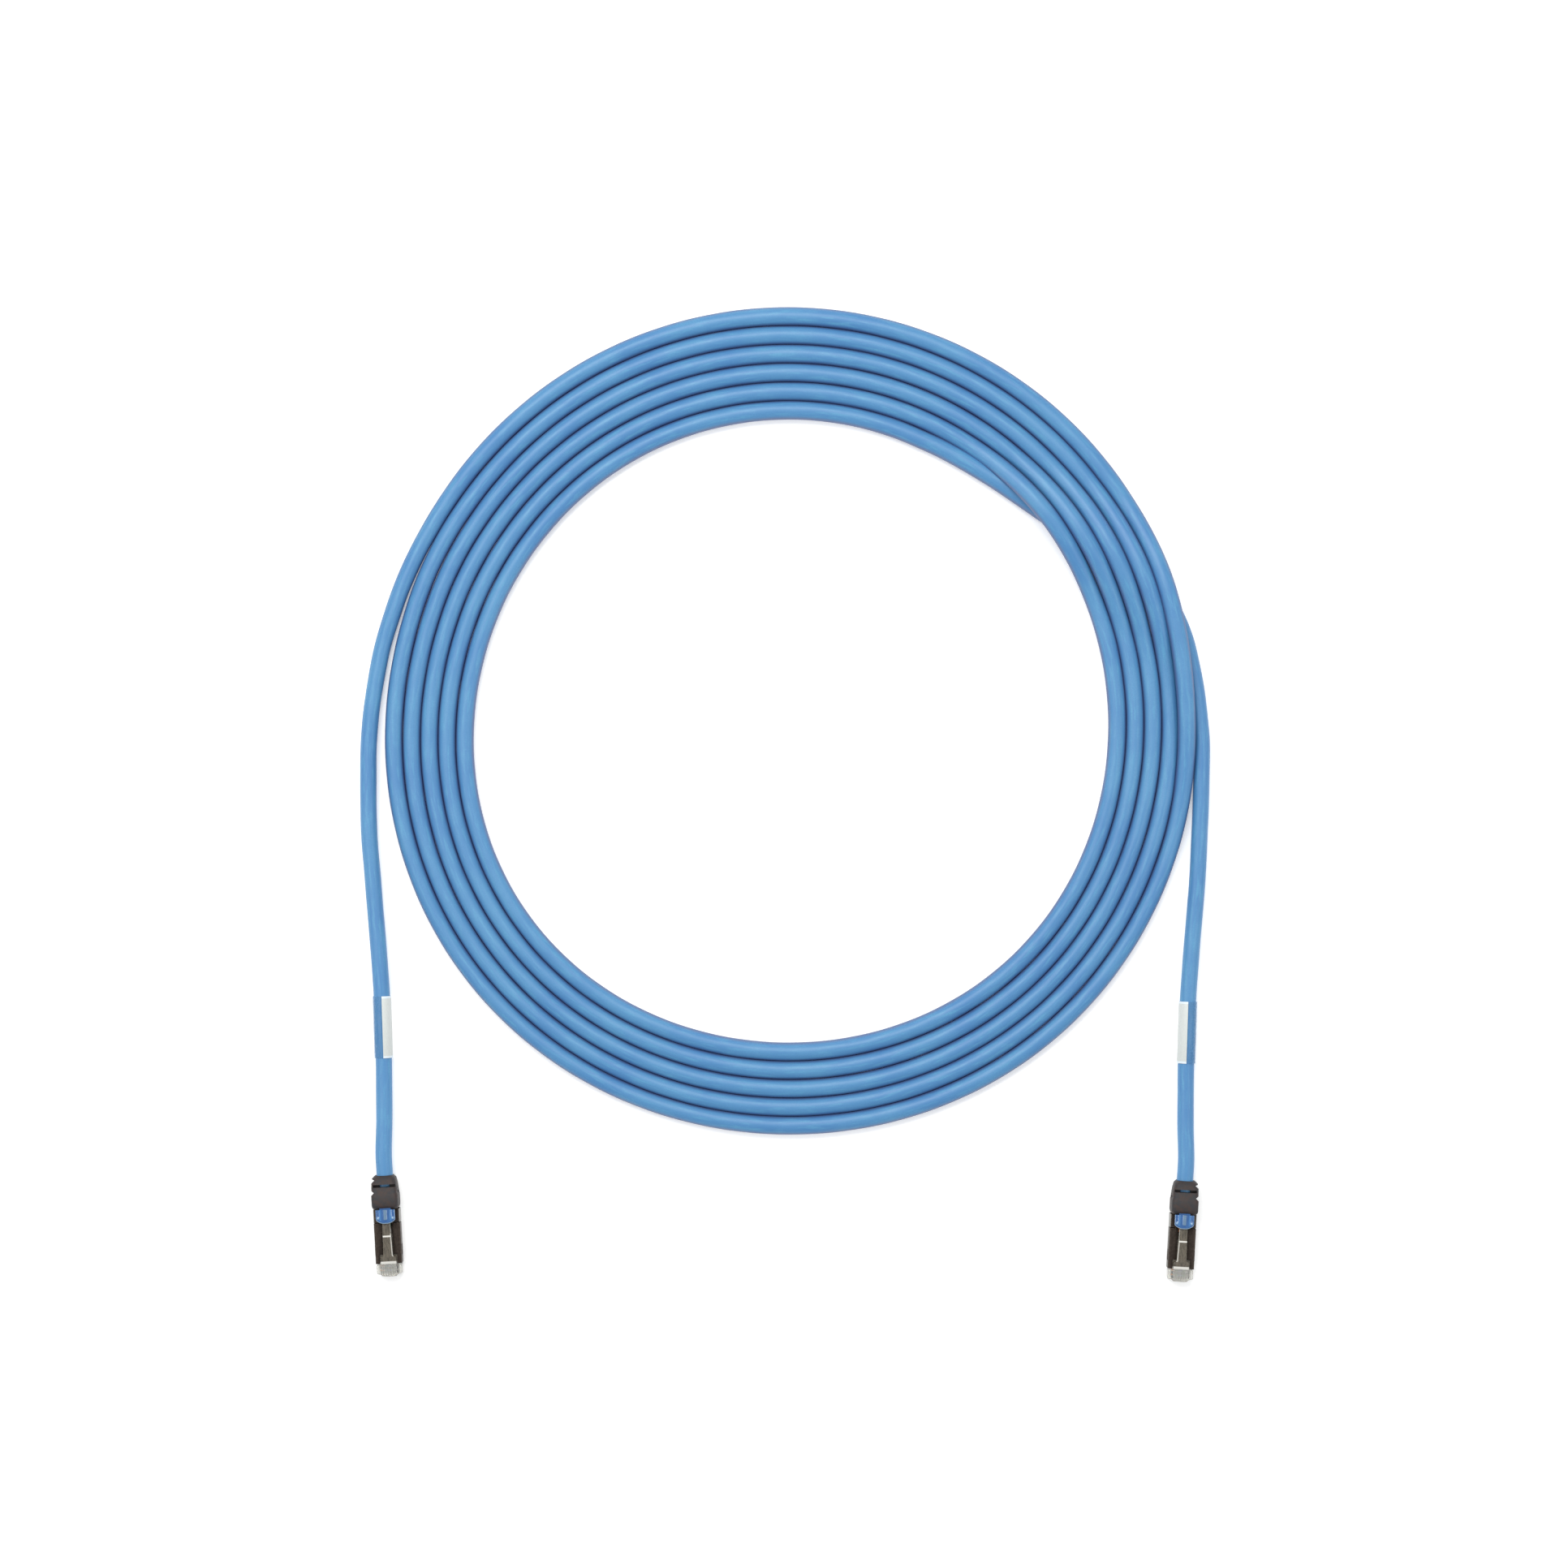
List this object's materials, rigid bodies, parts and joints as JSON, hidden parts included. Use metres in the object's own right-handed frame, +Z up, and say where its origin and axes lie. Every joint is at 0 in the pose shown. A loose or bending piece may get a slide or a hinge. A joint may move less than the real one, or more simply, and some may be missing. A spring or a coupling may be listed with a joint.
{
  "type": "ethernet patch cable",
  "caption": "Round shielded patch cable lying in a flat coil, with a clear modular plug, sprung latch, latch guard and slotted boot on each end.",
  "frame": {"origin": "on the surface that the cable lies on, midway between the two plugs", "axes": "+Z up from the surface, +Y along the two tails from the plugs to the coil, +X from the left plug to the right plug"},
  "size_m": [0.3758, 0.4302, 0.0132],
  "materials": {
    "jacket": "smooth satin cable jacket",
    "boot": "matt moulded",
    "guard": "glossy moulded",
    "clear_plastic": "clear moulded",
    "shell_metal": "dark reflective plated sheet",
    "bright_metal": "bright plated sheet",
    "braid_metal": "tinned wire braid",
    "contact_gold": "gold plated",
    "guide_plastic": "natural moulded",
    "label_panel": "matt writing surface",
    "label_film": "clear film",
    "wire_white_orange": "smooth",
    "wire_orange": "smooth",
    "wire_white_green": "smooth",
    "wire_blue": "smooth",
    "wire_white_blue": "smooth",
    "wire_green": "smooth",
    "wire_white_brown": "smooth",
    "wire_brown": "smooth"
  },
  "bodies": {
    "cable": {"cord_coil": "jacket", "left_tail": "jacket", "right_tail": "jacket", "left_plug_housing": "clear_plastic", "left_shield_shell": "shell_metal", "left_shield_collar": "bright_metal", "left_wire_guide": "guide_plastic", "left_jacket_end": "jacket", "left_braid": "braid_metal", "left_crimp_sleeve": "bright_metal", "left_boot": "boot", "left_label_film": "label_film", "left_label_panel": "label_panel", "left_contact_1": "contact_gold", "left_wire_1": "wire_white_orange", "left_contact_2": "contact_gold", "left_wire_2": "wire_orange", "left_contact_3": "contact_gold", "left_wire_3": "wire_white_green", "left_contact_4": "contact_gold", "left_wire_4": "wire_blue", "left_contact_5": "contact_gold", "left_wire_5": "wire_white_blue", "left_contact_6": "contact_gold", "left_wire_6": "wire_green", "left_contact_7": "contact_gold", "left_wire_7": "wire_white_brown", "left_contact_8": "contact_gold", "left_wire_8": "wire_brown", "right_plug_housing": "clear_plastic", "right_shield_shell": "shell_metal", "right_shield_collar": "bright_metal", "right_wire_guide": "guide_plastic", "right_jacket_end": "jacket", "right_braid": "braid_metal", "right_crimp_sleeve": "bright_metal", "right_boot": "boot", "right_label_film": "label_film", "right_label_panel": "label_panel", "right_contact_1": "contact_gold", "right_wire_1": "wire_white_orange", "right_contact_2": "contact_gold", "right_wire_2": "wire_orange", "right_contact_3": "contact_gold", "right_wire_3": "wire_white_green", "right_contact_4": "contact_gold", "right_wire_4": "wire_blue", "right_contact_5": "contact_gold", "right_wire_5": "wire_white_blue", "right_contact_6": "contact_gold", "right_wire_6": "wire_green", "right_contact_7": "contact_gold", "right_wire_7": "wire_white_brown", "right_contact_8": "contact_gold", "right_wire_8": "wire_brown"},
    "left_guard_lever": {"left_latch_guard": "guard"},
    "left_latch_tab": {"left_latch": "clear_plastic"},
    "right_guard_lever": {"right_latch_guard": "guard"},
    "right_latch_tab": {"right_latch": "clear_plastic"}
  },
  "joints": [
    {"name": "left_guard_press", "type": "hinge", "parent": "cable", "child": "left_guard_lever", "pos_m": [-0.17675, -0.02665, 0.01115], "axis": [0.9985, 0.0541, 0], "range_deg": [0, 17], "stiffness_Nm_per_rad": 0.03},
    {"name": "left_latch_press", "type": "hinge", "parent": "cable", "child": "left_latch_tab", "pos_m": [-0.17498, -0.0594, 0.0082], "axis": [-0.9985, -0.0541, 0], "range_deg": [0, 6.1], "stiffness_Nm_per_rad": 0.03},
    {"name": "right_guard_press", "type": "hinge", "parent": "cable", "child": "right_guard_lever", "pos_m": [0.17675, -0.02905, 0.01115], "axis": [0.9985, -0.0541, 0], "range_deg": [0, 17], "stiffness_Nm_per_rad": 0.03},
    {"name": "right_latch_press", "type": "hinge", "parent": "cable", "child": "right_latch_tab", "pos_m": [0.17498, -0.0618, 0.0082], "axis": [-0.9985, 0.0541, 0], "range_deg": [0, 6.1], "stiffness_Nm_per_rad": 0.03}
  ],
  "couplings": [
    {"joint": "left_latch_press", "follows": "left_guard_press", "ratio": 0.355},
    {"joint": "right_latch_press", "follows": "right_guard_press", "ratio": 0.355}
  ]
}
